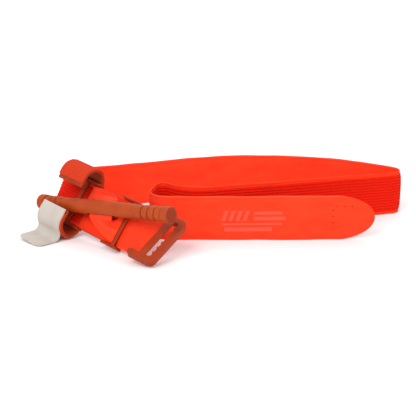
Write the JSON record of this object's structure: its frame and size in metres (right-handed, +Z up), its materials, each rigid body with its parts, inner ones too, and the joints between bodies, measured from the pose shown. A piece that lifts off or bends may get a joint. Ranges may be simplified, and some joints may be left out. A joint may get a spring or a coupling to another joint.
{
  "type": "tourniquet",
  "caption": "Windlass tourniquet with a folded hook-and-loop band, windlass rod, double-hook clip, stabiliser plate, buckle and time strap.",
  "frame": {"origin": "under the middle of the object, on the surface that the band's long edge stands on", "axes": "+X along the folded band, +Y from the base assembly towards the rear run, +Z up"},
  "size_m": [0.3144, 0.1889, 0.0565],
  "materials": {
    "face_tape": "smooth woven nylon tape, bright red-orange",
    "tension_band": "satin woven nylon band, red-orange",
    "hook_tape": "hook-and-loop tape, red, matt with short pile",
    "hook_patch": "ribbed hook tape, brick red",
    "time_strap": "matt cream write-on tape",
    "rod_plastic": "glass-filled nylon, brown-orange, satin",
    "clip_plastic": "moulded nylon, brown-orange, satin",
    "buckle_plastic": "moulded nylon, brown-orange, satin"
  },
  "bodies": {
    "rear_run": {"face_tape_back": "face_tape", "tension_band_back": "tension_band", "hook_tape_back": "hook_tape", "face_tape_fold": "face_tape", "tension_band_fold": "tension_band", "hook_tape_fold": "hook_tape", "face_tape_bend": "face_tape", "tension_band_bend": "tension_band", "hook_tape_bend": "hook_tape"},
    "base": {"face_tape_base": "face_tape", "tension_band_base": "tension_band", "hook_tape_base": "hook_tape", "windlass_clip": "clip_plastic", "stabiliser_plate": "clip_plastic", "hook_patch_upper": "hook_patch", "hook_patch_lower": "hook_patch", "time_strap_patch": "time_strap", "time_strap_bend": "time_strap", "buckle_loop": "face_tape", "tension_band_twist": "tension_band"},
    "windlass": {"windlass_rod": "rod_plastic"},
    "buckle": {"buckle": "buckle_plastic"},
    "time_strap": {"time_strap_tail": "time_strap"},
    "front_run": {"face_tape_front": "face_tape", "tension_band_front": "tension_band", "hook_tape_front": "hook_tape", "face_tape_loop": "face_tape", "tension_band_loop": "tension_band", "hook_tape_loop": "hook_tape"},
    "tail": {"face_tape_tail": "face_tape", "tension_band_tail": "tension_band", "hook_tape_tail": "hook_tape"}
  },
  "joints": [
    {"name": "band_fold", "type": "hinge", "parent": "rear_run", "child": "base", "pos_m": [-0.09937, 0.03142, 0.018], "axis": [0, 0, -1], "range_deg": [0, 110], "deforming": ["face_tape_bend", "tension_band_bend", "hook_tape_bend"]},
    {"name": "windlass_swing", "type": "hinge", "parent": "base", "child": "windlass", "pos_m": [-0.08685, -0.03947, 0.03008], "axis": [0.582, 0.5779, -0.5722], "range_deg": [-8, 22], "deforming": ["tension_band_twist"]},
    {"name": "buckle_swing", "type": "hinge", "parent": "base", "child": "buckle", "pos_m": [-0.0472, -0.0688, 0.01576], "axis": [-0.5765, -0.6859, -0.4441], "range_deg": [-60, 5]},
    {"name": "time_strap_fold", "type": "hinge", "parent": "base", "child": "time_strap", "pos_m": [-0.13607, -0.02669, 0.00737], "axis": [-0.6675, 0.7413, 0.0698], "range_deg": [0, 70], "deforming": ["time_strap_bend"]},
    {"name": "end_fold", "type": "hinge", "parent": "rear_run", "child": "front_run", "pos_m": [0.14753, 0.04718, 0.018], "axis": [0, 0, -1], "range_deg": [0, 12], "deforming": ["face_tape_fold", "tension_band_fold", "hook_tape_fold"]},
    {"name": "tail_fold", "type": "hinge", "parent": "front_run", "child": "tail", "pos_m": [-0.03849, -0.01464, 0.018], "axis": [0, 0, 1], "range_deg": [-8, 15], "deforming": ["face_tape_loop", "tension_band_loop", "hook_tape_loop"]}
  ]
}
